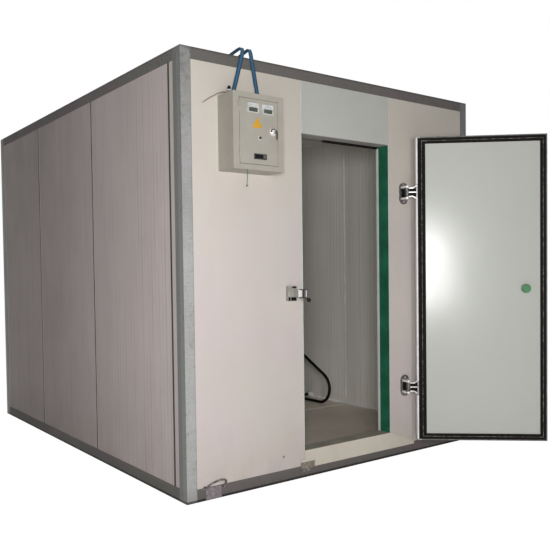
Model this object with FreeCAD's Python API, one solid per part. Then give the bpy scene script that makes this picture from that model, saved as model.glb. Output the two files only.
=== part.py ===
import FreeCAD, Part
import math
import os

# Walk-in cold room of insulated sandwich panels, with its door open and a control box on the front wall.
# Lengths are in millimetres. Sizes are given from the front left bottom corner of the panels: x runs to
# the right along the front, y into the depth and z up. The pieces are written about the middle of the
# footprint, at ground level.

# Room, outside sizes and panel thicknesses
room_w = 2300.0
room_d = 3200.0
room_h = 2400.0
wall_t = 100.0
roof_t = 60.0
floor_t = 100.0
corner_return = 145.0
side_joint_1 = 1183.0
side_joint_2 = 2219.0
joint_bevel = 5.0
tongue_l = 16.0
tongue_share = 0.3

# Aluminium angles along the edges
angle_t = 2.0
angle_front_leg = 60.0
angle_side_leg = 78.0
top_rail_leg = 62.0
base_rail_leg = 70.0
roof_leg = 60.0

# Doorway in the front wall
doorway_x0 = 800.0
doorway_x1 = 1512.0
sill_h = 160.0
doorway_h = room_h - 370.0
lining_t = 3.0
lining_depth = 85.0
jamb_strip_w = 9.0
head_seal_drop = 8.0
sill_cover_drop = 105.0
sill_cover_end_h = 37.0
sill_cover_overhang = 143.0

# Door leaf, drawn shut and then turned about its hinge line
leaf_overlap = 49.0
leaf_t = 100.0
leaf_gap = 16.0
leaf_bottom_overlap = 41.0
leaf_top_overlap = 44.0
rim_w = 8.0
rim_t = 2.0
gasket_w = 36.0
gasket_t = 6.0
hinge_out = 62.5
hinge_off = 64.0
door_open_angle = 137.5
knob_d = 56.0
knob_z = sill_h + 937.0
knob_inset = 136.0

# Hinges
hinge_plate_w = 76.0
hinge_plate_h = 140.0
hinge_plate_t = 6.0
hinge_plate_x = 1654.0
hinge_zs = (sill_h + 297.0, doorway_h - 303.0)
hinge_knuckle_h = 61.0
hinge_arm_t = 12.0
hinge_rib_t = 7.0
hinge_flare = 15.0
hinge_pin_d = 14.0
hinge_barrel_d = 26.0
hinge_run_clear = 0.05
hinge_end_clear = 0.3

# Latch strike on the left jamb
strike_x = 703.0
strike_z = sill_h + 935.0
strike_w = 66.0
strike_h = 86.0
strike_t = 22.0
strike_reach = 104.0
roller_d = 28.0
roller_h = 40.0
cheek_t = 5.0
strike_knob_d = 24.0

# Control box on the front wall
box_x0 = 224.0
box_w = 328.0
box_h = 404.0
box_below_roof = 230.0
box_depth = 150.0
box_sheet = 3.0
box_flange_w = 36.0
box_flange_h = 26.0
box_gap = 5.0
box_tray_t = 12.0
box_hinge_d = 9.0
box_hinge_off = 6.0
meter_w = 72.0
meter_h = 50.0
lock_d = 36.0

# Straps that carry the control box over the roof's edge: foot, peak and tail of each, across the front
strap_lines = ((313.0, 387.0, 370.0), (488.0, 439.0, 452.0))
strap_w = 27.0
strap_t = 2.0
strap_tail = 420.0

# Cords
hose_d = 24.0
hose_gland_d = 44.0
hose_gland_len = 44.0
cable_gland_h = 40.0
wire_d = 3.5
string_d = 3.5


def vec(x, y, z):
    return FreeCAD.Vector(x, y, z)


def box(x0, y0, z0, x1, y1, z1):
    """A plain block between two corners."""
    return Part.makeBox(x1 - x0, y1 - y0, z1 - z0, vec(x0, y0, z0))


def rod(start, end, diameter):
    """A round bar between two points."""
    way = end.sub(start)
    return Part.makeCylinder(diameter / 2, way.Length, start, way)


def prism(points, way):
    """A flat outline given by its corners, pushed along a vector."""
    loop = Part.makePolygon(list(points) + [points[0]])
    return Part.Face(loop).extrude(way)


def rounded_plate(x0, z0, x1, z1, y_front, thickness, radius):
    """An upright plate with rounded corners, its front at y_front and its back thickness behind it."""
    slab = box(x0, y_front, z0, x1, y_front + thickness, z1)
    edges = [e for e in slab.Edges if abs(e.tangentAt(e.FirstParameter).y) > 0.99]
    return slab.makeFillet(radius, edges)


def tube_along(points, diameter, name):
    """A round tube on straight runs joined by arcs that are tangent to them."""
    pts = [vec(*p) for p in points]
    edges = []
    at = pts[0]
    length = 0.0
    radii = []
    for before, corner, after in zip(pts, pts[1:], pts[2:]):
        way_in = corner.sub(before)
        way_out = after.sub(corner)
        half = way_in.getAngle(way_out) / 2
        trim = 0.45 * min(way_in.Length, way_out.Length)
        radius = trim / math.tan(half)
        radii.append(radius)
        a = corner.sub(vec(*way_in).normalize().multiply(trim))
        b = corner.add(vec(*way_out).normalize().multiply(trim))
        to_middle = a.add(b).multiply(0.5).sub(corner)
        reach = radius / math.cos(half) - radius
        middle = corner.add(to_middle.normalize().multiply(reach))
        edges.append(Part.LineSegment(at, a).toShape())
        edges.append(Part.Arc(a, middle, b).toShape())
        length += at.distanceToPoint(a) + 2 * half * radius
        at = b
    edges.append(Part.LineSegment(at, pts[-1]).toShape())
    length += at.distanceToPoint(pts[-1])
    path = Part.Wire(edges)
    ring = Part.Wire(Part.makeCircle(diameter / 2, pts[0], pts[1].sub(pts[0])))
    tube = path.makePipeShell([ring], True, False)
    section = math.pi * diameter * diameter / 4
    print(name, "length %.0f" % length, "smallest radius %.0f" % min(radii),
          "volume ratio %.4f" % (tube.Volume / (section * length)))
    return tube


def band(pts, width, thickness):
    """Flat webbing through the points, its width along x: flat faces, with the two edges in triangles."""
    across = vec(width / 2, 0, 0)
    rings = []
    for i, p in enumerate(pts):
        way = pts[min(i + 1, len(pts) - 1)].sub(pts[max(i - 1, 0)])
        half = across.cross(way).normalize().multiply(thickness / 2)
        rings.append([p.sub(across).sub(half), p.add(across).sub(half), p.add(across).add(half), p.sub(across).add(half)])
    outlines = [rings[0], rings[-1]]
    for low, high in zip(rings, rings[1:]):
        for side in (0, 2):
            outlines.append([low[side], low[side + 1], high[side + 1], high[side]])
        for side in (1, 3):
            after = (side + 1) % 4
            outlines.append([low[side], low[after], high[after]])
            outlines.append([low[side], high[after], high[side]])
    faces = [Part.Face(Part.makePolygon(outline + [outline[0]])) for outline in outlines]
    return Part.Solid(Part.Shell(faces))


def turn(shape, at, axis, degrees):
    """A copy turned about a line."""
    copy = shape.copy()
    copy.rotate(at, axis, degrees)
    return copy


up = vec(0, 0, 1)
wall_top = room_h - roof_t
side_splits = (0.0, side_joint_1, side_joint_2, room_d)
inner_splits = (wall_t, side_joint_1, side_joint_2, room_d - wall_t)
wall_z0 = angle_t
inner_x1 = room_w - wall_t
hinge_at = vec(doorway_x1 + leaf_overlap + hinge_out, -hinge_off, 0)
box_x1 = box_x0 + box_w
box_z1 = room_h - box_below_roof
box_z0 = box_z1 - box_h
box_hinge_at = vec(box_x0 + box_flange_w + box_gap / 2, -box_depth - box_hinge_off, 0)


def panel_outline(start, end, thickness, groove, tongue):
    """Section along one panel: bevelled joints, a groove at its start and a tongue at its end where asked."""
    b = joint_bevel
    low = thickness * (1 - tongue_share) / 2
    high = thickness - low
    outline = [(start, 0), (start, thickness)]
    if groove:
        root = start + tongue_l
        outline = [(start + b, 0), (start, b), (start, low), (root, low), (root, high), (start, high),
                   (start, thickness - b), (start + b, thickness)]
    if tongue:
        tip = end + tongue_l
        return outline + [(end - b, thickness), (end, thickness - b), (end, high), (tip, high), (tip, low),
                          (end, low), (end, b), (end - b, 0)]
    return outline + [(end, thickness), (end, 0)]


def floor_panel(index):
    outline = panel_outline(inner_splits[index], inner_splits[index + 1], floor_t, index > 0, index < 2)
    return prism([vec(wall_t, y, floor_t - t) for y, t in outline], vec(inner_x1 - wall_t, 0, 0))


def roof_panel(index):
    outline = panel_outline(side_splits[index], side_splits[index + 1], roof_t, index > 0, index < 2)
    return prism([vec(0, y, room_h - t) for y, t in outline], vec(room_w, 0, 0))


def side_panel(index, left):
    """One upright panel of a side wall, between the front corner's return and the back wall."""
    start = (corner_return, side_joint_1, side_joint_2)[index]
    end = (side_joint_1, side_joint_2, room_d - wall_t)[index]
    outline = panel_outline(start, end, wall_t, True, index < 2)
    return prism([vec(t if left else room_w - t, y, wall_z0) for y, t in outline], vec(0, 0, wall_top - wall_z0))


def back_panel(index):
    half = room_w / 2
    outline = panel_outline(index * half, (index + 1) * half, wall_t, index > 0, index < 1)
    return prism([vec(x, room_d - t, wall_z0) for x, t in outline], vec(0, 0, wall_top - wall_z0))


def front_corner_panel(left):
    """A front wall panel that turns the corner: its return is the first strip of the side wall."""
    edge = doorway_x0 - lining_t if left else doorway_x1 + lining_t
    far = 0.0 if left else room_w
    inner = wall_t if left else inner_x1
    strip = panel_outline(wall_t, corner_return, wall_t, False, True)
    side = [(t if left else room_w - t, y) for y, t in strip]
    outline = [(edge, 0), (far, 0)] + side[:1:-1] + [(inner, wall_t), (edge, wall_t)]
    return prism([vec(x, y, wall_z0) for x, y in outline], vec(0, 0, wall_top - wall_z0))


def front_wall_over_door():
    x0 = doorway_x0 - lining_t
    x1 = doorway_x1 + lining_t
    b = joint_bevel
    outline = [(x0 + b, 0), (x1 - b, 0), (x1, b), (x1, wall_t), (x0, wall_t), (x0, b)]
    low = doorway_h + lining_t
    return prism([vec(x, y, low) for x, y in outline], vec(0, 0, wall_top - low))


def door_sill():
    return box(doorway_x0 - lining_t, 0, wall_z0, doorway_x1 + lining_t, wall_t, sill_h - lining_t)


def corner_angle(x_side, y_side):
    """An upright angle outside one corner: x_side and y_side are -1 at the left or front and 1 otherwise."""
    x = 0.0 if x_side < 0 else room_w
    y = 0.0 if y_side < 0 else room_d
    t = angle_t
    outer = [(x + x_side * t, y + y_side * t), (x - x_side * angle_front_leg, y + y_side * t),
             (x - x_side * angle_front_leg, y), (x, y), (x, y - y_side * angle_side_leg),
             (x + x_side * t, y - y_side * angle_side_leg)]
    return prism([vec(a, b, 0) for a, b in outer], vec(0, 0, room_h))


def top_rail_across(y_side):
    """The angle along the front or back edge of the roof, with a leg on the roof from side to side."""
    y = 0.0 if y_side < 0 else room_d
    out = y + y_side * angle_t
    low, high = sorted((out, y))
    upright = box(angle_front_leg, low, room_h - top_rail_leg, room_w - angle_front_leg, high, room_h)
    low, high = sorted((out, y - y_side * roof_leg))
    flat = box(-angle_t, low, room_h, room_w + angle_t, high, room_h + angle_t)
    return upright.fuse(flat).removeSplitter()


def top_rail_side(x_side):
    x = 0.0 if x_side < 0 else room_w
    out = x + x_side * angle_t
    low, high = sorted((out, x))
    upright = box(low, angle_side_leg, room_h - top_rail_leg, high, room_d - angle_side_leg, room_h)
    low, high = sorted((out, x - x_side * roof_leg))
    flat = box(low, roof_leg, room_h, high, room_d - roof_leg, room_h + angle_t)
    return upright.fuse(flat).removeSplitter()


def base_rail_across(y_side):
    """The angle at the foot of the front or back wall, with a leg under the wall."""
    y = 0.0 if y_side < 0 else room_d
    low, high = sorted((y + y_side * angle_t, y))
    upright = box(angle_front_leg, low, 0, room_w - angle_front_leg, high, base_rail_leg)
    low, high = sorted((y + y_side * angle_t, y - y_side * wall_t))
    flat = box(angle_front_leg, low, 0, room_w - angle_front_leg, high, angle_t)
    return upright.fuse(flat).removeSplitter()


def base_rail_side(x_side):
    x = 0.0 if x_side < 0 else room_w
    low, high = sorted((x + x_side * angle_t, x))
    upright = box(low, angle_side_leg, 0, high, room_d - angle_side_leg, base_rail_leg)
    low, high = sorted((x + x_side * angle_t, x - x_side * wall_t))
    flat = box(low, wall_t, 0, high, room_d - wall_t, angle_t)
    return upright.fuse(flat).removeSplitter()


def jamb_lining(left):
    x = doorway_x0 - lining_t if left else doorway_x1
    return box(x, 0, sill_h, x + lining_t, lining_depth, doorway_h)


def head_lining():
    return box(doorway_x0 - lining_t, 0, doorway_h, doorway_x1 + lining_t, lining_depth, doorway_h + lining_t)


def head_seal():
    """Rubber strip along the back edge of the lintel."""
    return box(doorway_x0, lining_depth, doorway_h - head_seal_drop, doorway_x1, wall_t, doorway_h + lining_t)


def jamb_edge_strips():
    """Upright profiles along the jambs' inner edges, with rounded top ends."""
    top = doorway_h - head_seal_drop - 3
    y0 = lining_depth
    side = [(y0, sill_h), (wall_t, sill_h), (wall_t, top), (y0 + 9, top), (y0 + 4, top - 2), (y0 + 1, top - 6), (y0, top - 11)]
    strips = []
    for x in (doorway_x0 - lining_t, doorway_x1 + lining_t - jamb_strip_w):
        strips.append(prism([vec(x, y, z) for y, z in side], vec(jamb_strip_w, 0, 0)))
    return Part.makeCompound(strips)


def threshold_plate():
    """Sheet over the sill, folded down over its front; the fold runs past the right jamb to a slanted end."""
    t = lining_t
    front = -t - angle_t
    x0 = doorway_x0 - t
    x1 = doorway_x1 + t
    low = sill_h - sill_cover_drop
    end = x1 + sill_cover_overhang
    top = box(x0, front, sill_h - t, x1, wall_t, sill_h)
    fold = [(x0, sill_h), (x1, sill_h), (end, low + sill_cover_end_h), (end, low), (x0, low)]
    return top.fuse(prism([vec(x, front, z) for x, z in fold], vec(0, t, 0))).removeSplitter()


def sill_joint_plate():
    """Small plate over the left end of the sill's fold."""
    edge = doorway_x0 - lining_t
    face = -angle_t - lining_t
    cover = rounded_plate(edge - 34, 35, edge + 71, 108, face - 3, 3, 3)
    packing = box(edge - 30, face, 39, edge, -angle_t, 104)
    return cover.fuse(packing).removeSplitter()


def lifting_handle():
    """A bent round bar on a plate with two lugs, at the foot of the front left corner."""
    face = -angle_t
    route = [(106, face - 2, 70), (108, -20, 76), (124, -32, 92), (150, -38, 103), (178, -41, 110),
             (204, -42, 110), (222, -38, 98), (222, -28, 76), (217, -18, 62), (216, face - 2, 60)]
    body = rounded_plate(112, 3, 210, 68, face - 3, 3, 4)
    for x, y, z in (route[0], route[-1]):
        body = body.fuse(rod(vec(x, face, z), vec(x, face - 3, z), 20))
    return body.fuse(tube_along(route, 10, "lifting_handle")).removeSplitter()


def hinge_bracket(z):
    """Wall plate with two arms and the pin that the door's strap turns on."""
    x0 = hinge_plate_x - hinge_plate_w / 2
    x1 = x0 + hinge_plate_w
    plate = rounded_plate(x0, z - hinge_plate_h / 2, x1, z + hinge_plate_h / 2,
                          -hinge_plate_t, hinge_plate_t, hinge_plate_w / 2 - 2)
    radius = hinge_barrel_d / 2
    outline = [(x0 + 8, -hinge_plate_t), (x1 - 8, -hinge_plate_t), (hinge_at.x + radius, hinge_at.y),
               (hinge_at.x - radius, hinge_at.y)]
    half = hinge_knuckle_h / 2 + hinge_arm_t
    pin = Part.makeCylinder(hinge_pin_d / 2, 2 * half, vec(hinge_at.x, hinge_at.y, z - half))
    body = plate.fuse(pin)
    for side in (-1, 1):
        low, high = sorted((z + side * (hinge_knuckle_h / 2 + hinge_end_clear), z + side * half))
        arm = prism([vec(x, y, low) for x, y in outline], vec(0, 0, high - low))
        barrel = Part.makeCylinder(radius, high - low, vec(hinge_at.x, hinge_at.y, low))
        body = body.fuse(arm).fuse(barrel)
    return body.removeSplitter()


def hinge_strap(z):
    """Strap on the leaf's edge, drawn with the door shut: three ribs, the outer two flared, run to its knuckle."""
    leaf_edge = doorway_x1 + leaf_overlap
    knuckle = vec(hinge_at.x, hinge_at.y, z - hinge_knuckle_h / 2)
    reach = hinge_knuckle_h / 2 + hinge_flare
    body = box(leaf_edge, hinge_at.y - 24, z - reach, leaf_edge + 4, hinge_at.y + 24, z + reach)
    body = body.fuse(Part.makeCylinder(hinge_barrel_d / 2, hinge_knuckle_h, knuckle))
    half = hinge_rib_t / 2
    for side in (-1, 0, 1):
        near = z + side * (hinge_knuckle_h / 2 - half)
        line = [(hinge_at.x, near), (leaf_edge + 26, near), (leaf_edge + 2, near + side * hinge_flare)]
        outline = [(x, a + half) for x, a in line] + [(x, a - half) for x, a in reversed(line)]
        body = body.fuse(prism([vec(x, hinge_at.y - 11, a) for x, a in outline], vec(0, 22, 0)))
    bore = Part.makeCylinder(hinge_pin_d / 2 + hinge_run_clear, hinge_knuckle_h + 2, knuckle.sub(up))
    return body.cut(bore).removeSplitter()


def latch_strike():
    """Block on the wall with pockets in its front; a neck and two cheeks hold a roller, with a knob below."""
    x0 = strike_x - strike_w / 2
    z0 = strike_z - strike_h / 2
    z1 = strike_z + strike_h / 2
    block = rounded_plate(x0, z0, x0 + strike_w, z1, -strike_t, strike_t, 5)
    for a, b, low, high in ((32, 60, z1 - 11, z1 - 3), (5, 14, z0 + 3, z0 + 19), (22, 60, z0 + 3, z0 + 19)):
        block = block.cut(box(x0 + a, -strike_t - 1, low, x0 + b, -strike_t + 14, high))
    roller_x = strike_x + 24
    neck = box(strike_x + 10, -strike_reach + 26, strike_z - 22, strike_x + 30, -strike_t, strike_z + 22)
    body = block.fuse(neck)
    for side in (-1, 1):
        low, high = sorted((strike_z + side * roller_h / 2, strike_z + side * (roller_h / 2 + cheek_t)))
        body = body.fuse(box(strike_x + 9, -strike_reach - 9, low, strike_x + 36, -strike_reach + 34, high))
    roller = Part.makeCylinder(roller_d / 2, roller_h, vec(roller_x, -strike_reach, strike_z - roller_h / 2))
    knob_at = vec(roller_x + 2, -strike_reach - 34, strike_z - roller_h / 2 - 16)
    stem = rod(vec(roller_x, -strike_reach - 4, strike_z - roller_h / 2 - 2), knob_at, 7)
    knob = Part.makeSphere(strike_knob_d / 2, knob_at)
    return body.fuse(roller).fuse(stem).fuse(knob).removeSplitter()


def leaf_shape():
    """The leaf's box when shut: x0, x1, inner face, outer face, bottom and top."""
    return (doorway_x0 - leaf_overlap, doorway_x1 + leaf_overlap, -leaf_gap, -leaf_gap - leaf_t,
            sill_h - leaf_bottom_overlap, doorway_h + leaf_top_overlap)


def door_leaf():
    x0, x1, inner, outer, z0, z1 = leaf_shape()
    return box(x0 + rim_t, outer + rim_t, z0 + rim_t, x1 - rim_t, inner, z1 - rim_t)


def door_edge_frame():
    """Thin profile round the leaf's four edges, lipped over its inner and outer faces."""
    x0, x1, inner, outer, z0, z1 = leaf_shape()
    ring = box(x0, outer, z0, x1, inner + rim_t, z1)
    hollow = box(x0 + rim_t, outer + rim_t, z0 + rim_t, x1 - rim_t, inner, z1 - rim_t)
    window = box(x0 + rim_w, outer - 1, z0 + rim_w, x1 - rim_w, inner + rim_t + 1, z1 - rim_w)
    return ring.cut(hollow).cut(window)


def door_gasket():
    x0, x1, inner, outer, z0, z1 = leaf_shape()
    ring = box(x0 + rim_w, inner, z0 + rim_w, x1 - rim_w, inner + gasket_t, z1 - rim_w)
    inset = rim_w + gasket_w
    return ring.cut(box(x0 + inset, inner - 1, z0 + inset, x1 - inset, inner + gasket_t + 1, z1 - inset))


def release_knob():
    """Round push knob on the leaf's inner face."""
    x0, x1, inner, outer, z0, z1 = leaf_shape()
    at = vec(x0 + knob_inset, inner, knob_z)
    stem = Part.makeCylinder(11, 22, at, vec(0, 1, 0))
    head = Part.makeCylinder(knob_d / 2, 16, vec(at.x, inner + 22, at.z), vec(0, 1, 0))
    head = head.makeFillet(5, head.Edges)
    return stem.fuse(head).removeSplitter()


def latch_handle():
    """Latch case and pull handle on the leaf's outer face."""
    x0, x1, inner, outer, z0, z1 = leaf_shape()
    face = outer + rim_t
    case = rounded_plate(x0 + 12, knob_z - 70, x0 + 92, knob_z + 70, outer - 28, face - outer + 28, 8)
    arm = rounded_plate(x0 + 36, knob_z - 210, x0 + 64, knob_z + 20, outer - 62, 14, 6)
    neck = box(x0 + 38, outer - 48, knob_z - 14, x0 + 62, outer - 28, knob_z + 14)
    return case.fuse(neck).fuse(arm).removeSplitter()


def control_box_shell():
    """Hollow box with a flange round its open front and the fixed halves of two hinges."""
    outer = box(box_x0, -box_depth, box_z0, box_x1, 0, box_z1)
    t = box_sheet
    inner = box(box_x0 + t, -box_depth + t, box_z0 + t, box_x1 - t, -t, box_z1 - t)
    window = box(box_x0 + box_flange_w, -box_depth - 1, box_z0 + box_flange_h, box_x1 - box_flange_w,
                 -box_depth + t + 1, box_z1 - box_flange_h)
    shell = outer.cut(inner).cut(window)
    for z in (box_z0 + 80, box_z1 - 80):
        leaf = box(box_hinge_at.x - 18, -box_depth - 2, z - 30, box_hinge_at.x, -box_depth, z)
        barrel = Part.makeCylinder(box_hinge_d / 2, 30, vec(box_hinge_at.x, box_hinge_at.y, z - 30))
        shell = shell.fuse(leaf).fuse(barrel)
    return shell.removeSplitter()


def control_box_front():
    """The box's hinged front, a shallow tray open to the back and flush with the flange."""
    side = box_flange_w + box_gap
    end = box_flange_h + box_gap
    t = box_sheet
    outer = box(box_x0 + side, -box_depth, box_z0 + end, box_x1 - side, -box_depth + box_tray_t, box_z1 - end)
    inner = box(box_x0 + side + t, -box_depth + t, box_z0 + end + t, box_x1 - side - t,
                -box_depth + box_tray_t + 1, box_z1 - end - t)
    front = outer.cut(inner)
    for z in (box_z0 + 80, box_z1 - 80):
        low = z + hinge_end_clear
        leaf = box(box_hinge_at.x, -box_depth - 2, low, box_hinge_at.x + 18, -box_depth, low + 30)
        barrel = Part.makeCylinder(box_hinge_d / 2, 30, vec(box_hinge_at.x, box_hinge_at.y, low))
        front = front.fuse(leaf).fuse(barrel)
    return front.removeSplitter()


def panel_instruments():
    """Two meters with a raised window below, the display and a push button in the box's front."""
    y = -box_depth
    solids = []
    for x in (box_x0 + 88, box_x0 + 184):
        low = box_z1 - 52 - meter_h
        meter = rounded_plate(x, low, x + meter_w, low + meter_h, y - 6, 6, 3)
        window = rounded_plate(x + 8, low + 3, x + meter_w - 8, low + 22, y - 8, 2, 2)
        solids.append(meter.fuse(window).removeSplitter())
    solids.append(rounded_plate(box_x0 + 130, box_z0 + 57, box_x0 + 211, box_z0 + 87, y - 4, 4, 3))
    solids.append(Part.makeCylinder(7, 9, vec(box_x0 + 168, y, box_z0 + 172), vec(0, -1, 0)))
    return Part.makeCompound(solids)


def key_lock():
    ring = Part.makeCylinder(lock_d / 2, 7, vec(box_x0 + 255, -box_depth, box_z0 + 212), vec(0, -1, 0))
    barrel = Part.makeCylinder(lock_d / 2 - 5, 14, vec(box_x0 + 255, -box_depth, box_z0 + 212), vec(0, -1, 0))
    return ring.fuse(barrel).removeSplitter()


def lock_key():
    """Key in the lock with its bow hanging to the lower right."""
    y = -box_depth - 14
    x = box_x0 + 260
    z = box_z0 + 212
    blade = box(x - 4, y - 12, z - 2, x + 4, y, z + 2)
    outline = [(x - 5, z + 6), (x + 4, z + 6), (x + 11, z - 6), (x + 8, z - 44), (x + 2, z - 44), (x + 1, z - 12)]
    bow = prism([vec(a, y - 13, b) for a, b in outline], vec(0, 3, 0))
    return blade.fuse(bow).removeSplitter()


def strap(foot, peak, tail):
    """Flat webbing from the box's back edge up over the roof's edge and back on the roof."""
    rise = room_h + 30 - box_z1
    line = []
    for y, z in ((-6, box_z1), (-7, (box_z1 + room_h) / 2), (-7, room_h - 40), (-6, room_h + 30)):
        line.append(vec(foot + (peak - foot) * (z - box_z1) / rise, y, z))
    line.append(vec(peak, 6, room_h + 55))
    for y, z in ((34, 53), (110, 40), (230, 20), (340, 7), (strap_tail, 4)):
        line.append(vec(peak + (tail - peak) * y / strap_tail, y, room_h + z))
    return band(line, strap_w, strap_t)


def strap_anchors():
    """Two small plates that clamp the straps' ends to the roof."""
    plates = [box(tail - 24, strap_tail - 20, room_h, tail + 24, strap_tail + 20, room_h + 3)
              for foot, peak, tail in strap_lines]
    return Part.makeCompound(plates)


def hose_route():
    line = [(44, 1850, 638), (108, 1850, 638), (155, 1790, 618), (160, 1655, 553), (157, 1518, 478),
            (160, 1375, 402), (160, 1240, 335), (160, 1200, 253), (160, 1222, 168), (159, 1293, 112.5),
            (156, 1390, 112.5), (159, 1490, 112.5), (157, 1590, 113), (112, 1640, 125), (44, 1640, 125)]
    return [(inner_x1 - x, y, z) for x, y, z in line]


def hose_glands():
    """Nuts on the right wall that the hose runs out of and back into."""
    solids = []
    for x, y, z in (hose_route()[0], hose_route()[-1]):
        nut_l = hose_gland_len - 14
        nut = Part.makeCylinder(hose_gland_d / 2, nut_l, vec(inner_x1, y, z), vec(-1, 0, 0))
        nose = Part.makeCone(hose_gland_d / 2 - 3, hose_d / 2 + 2, hose_gland_len - nut_l,
                             vec(inner_x1 - nut_l, y, z), vec(-1, 0, 0))
        solids.append(nut.fuse(nose).removeSplitter())
    return Part.makeCompound(solids)


def cable_gland():
    """Gland on top of the control box, at its back left."""
    foot = Part.makeCylinder(12, 8, vec(box_x0 + 60, -24, box_z1), up)
    return foot.fuse(Part.makeCylinder(8, cable_gland_h, vec(box_x0 + 60, -24, box_z1), up)).removeSplitter()


def sensor_wire():
    line = [(0, 0, 0), (-22, 0, 2), (-42, -1, -3), (-62, -2, -12), (-84, -1, -24), (-108, 3, -38), (-132, 7, -54), (-152, 12, -70)]
    return tube_along([(box_x0 + 52 + x, y - 24, box_z1 + 18 + z) for x, y, z in line], wire_d, "sensor_wire")


def hanging_string():
    line = [(88, 0, 0), (88, 0, -22), (86.5, -1, -46), (85, 0, -68), (84, 0, -84)]
    return tube_along([(box_x0 + x, y + 4 - box_depth, box_z0 + z) for x, y, z in line], string_d, "hanging_string")


nodes = {
    "front_wall_left": front_corner_panel(True),
    "front_wall_right": front_corner_panel(False),
    "front_wall_over_door": front_wall_over_door(),
    "door_sill": door_sill(),
    "top_rail_front": top_rail_across(-1),
    "top_rail_back": top_rail_across(1),
    "top_rails_sides": Part.makeCompound([top_rail_side(-1), top_rail_side(1)]),
    "base_rail_front": base_rail_across(-1),
    "base_rail_back": base_rail_across(1),
    "base_rails_sides": Part.makeCompound([base_rail_side(-1), base_rail_side(1)]),
    "jamb_lining_left": jamb_lining(True),
    "jamb_lining_right": jamb_lining(False),
    "head_lining": head_lining(),
    "head_seal": head_seal(),
    "jamb_edge_strips": jamb_edge_strips(),
    "threshold_plate": threshold_plate(),
    "sill_joint_plate": sill_joint_plate(),
    "lifting_handle": lifting_handle(),
    "hinge_bracket_lower": hinge_bracket(hinge_zs[0]),
    "hinge_bracket_upper": hinge_bracket(hinge_zs[1]),
    "latch_strike": latch_strike(),
    "control_box_shell": control_box_shell(),
    "control_box_front": control_box_front(),
    "panel_instruments": panel_instruments(),
    "key_lock": key_lock(),
    "lock_key": lock_key(),
    "strap_left": strap(*strap_lines[0]),
    "strap_right": strap(*strap_lines[1]),
    "strap_anchors": strap_anchors(),
    "drain_hose": tube_along(hose_route(), hose_d, "drain_hose"),
    "hose_glands": hose_glands(),
    "cable_gland": cable_gland(),
    "sensor_wire": sensor_wire(),
    "hanging_string": hanging_string(),
}
for number in range(3):
    nodes["floor_panel_%d" % (number + 1)] = floor_panel(number)
    nodes["roof_panel_%d" % (number + 1)] = roof_panel(number)
    nodes["left_wall_panel_%d" % (number + 1)] = side_panel(number, True)
    nodes["right_wall_panel_%d" % (number + 1)] = side_panel(number, False)
for number in range(2):
    nodes["back_wall_panel_%d" % (number + 1)] = back_panel(number)
for x_name, x_sign in (("left", -1), ("right", 1)):
    for y_name, y_sign in (("front", -1), ("back", 1)):
        nodes["corner_angle_%s_%s" % (y_name, x_name)] = corner_angle(x_sign, y_sign)

door = {
    "door_leaf": door_leaf(),
    "door_edge_frame": door_edge_frame(),
    "door_gasket": door_gasket(),
    "release_knob": release_knob(),
    "latch_handle": latch_handle(),
    "hinge_strap_lower": hinge_strap(hinge_zs[0]),
    "hinge_strap_upper": hinge_strap(hinge_zs[1]),
}
for name, shape in door.items():
    nodes[name] = turn(shape, hinge_at, up, door_open_angle)

os.makedirs("parts", exist_ok=True)
for name, shape in sorted(nodes.items()):
    shape.translate(vec(-room_w / 2, -room_d / 2, 0))
    shape.exportStep("parts/%s.step" % name)
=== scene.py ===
import math

import bpy
from mathutils import Matrix, Vector


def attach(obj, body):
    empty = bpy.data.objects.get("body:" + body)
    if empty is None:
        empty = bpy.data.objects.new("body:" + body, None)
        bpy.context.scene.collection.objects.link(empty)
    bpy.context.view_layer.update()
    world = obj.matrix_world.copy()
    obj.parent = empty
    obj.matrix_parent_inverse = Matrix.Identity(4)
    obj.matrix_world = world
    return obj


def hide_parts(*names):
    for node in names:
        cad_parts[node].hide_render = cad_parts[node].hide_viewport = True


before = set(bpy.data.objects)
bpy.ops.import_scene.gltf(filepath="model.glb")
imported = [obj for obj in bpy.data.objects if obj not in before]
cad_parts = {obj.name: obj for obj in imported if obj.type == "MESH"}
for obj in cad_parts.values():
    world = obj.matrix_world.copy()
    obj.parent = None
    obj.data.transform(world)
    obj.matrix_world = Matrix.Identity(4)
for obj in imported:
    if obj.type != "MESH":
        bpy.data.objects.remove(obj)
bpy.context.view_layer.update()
SCENE = bpy.context.scene

# Walk-in cold room: sizes in millimetres from the front left bottom corner of its panels, where x runs
# to the right along the front, y into the depth and z up. The frame's origin is the middle of the footprint.
ROOM_W = 2300.0
ROOM_D = 3200.0
ROOM_H = 2400.0
WALL_T = 100.0
ROOF_T = 60.0
FLOOR_T = 100.0
CORNER_RETURN = 145.0
SIDE_JOINTS = (1183.0, 2219.0)
RAIL_TOP = 70.0
TOP_RAIL_LOW = 2338.0
CEILING = ROOM_H - ROOF_T
DOORWAY_X = (800.0, 1512.0)
LINING_T = 3.0
SILL_H = 160.0

# Distances of the room's faces from the frame's origin, in metres
SIDE_M = ROOM_W / 2000
END_M = ROOM_D / 2000
FRONT_M = -END_M
TOP_M = ROOM_H / 1000

# Door, drawn shut and turned open about its hinge line
HINGE_AT = (1623.5, -64.0)
HINGE_Z = (457.0, 1727.0)
HINGE_PLATE_Y = -6.0
OPEN_ANGLE = 137.5
LEAF_X = (751.0, 1561.0)
LEAF_Z = (119.0, 2074.0)
LEAF_INNER = -16.0
LEAF_OUTER = -116.0
RIM_W = 8.0
RIM_T = 2.0
GASKET_W = 36.0
GASKET_T = 6.0

# Latch strike's block on the left jamb
STRIKE_X = 670.0
STRIKE_Z = (1052.0, 1138.0)

# Control box
BOX_X = (224.0, 552.0)
BOX_Z = (1766.0, 2170.0)
BOX_FACE = -150.0

RIB_PITCH_M = 0.04


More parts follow.
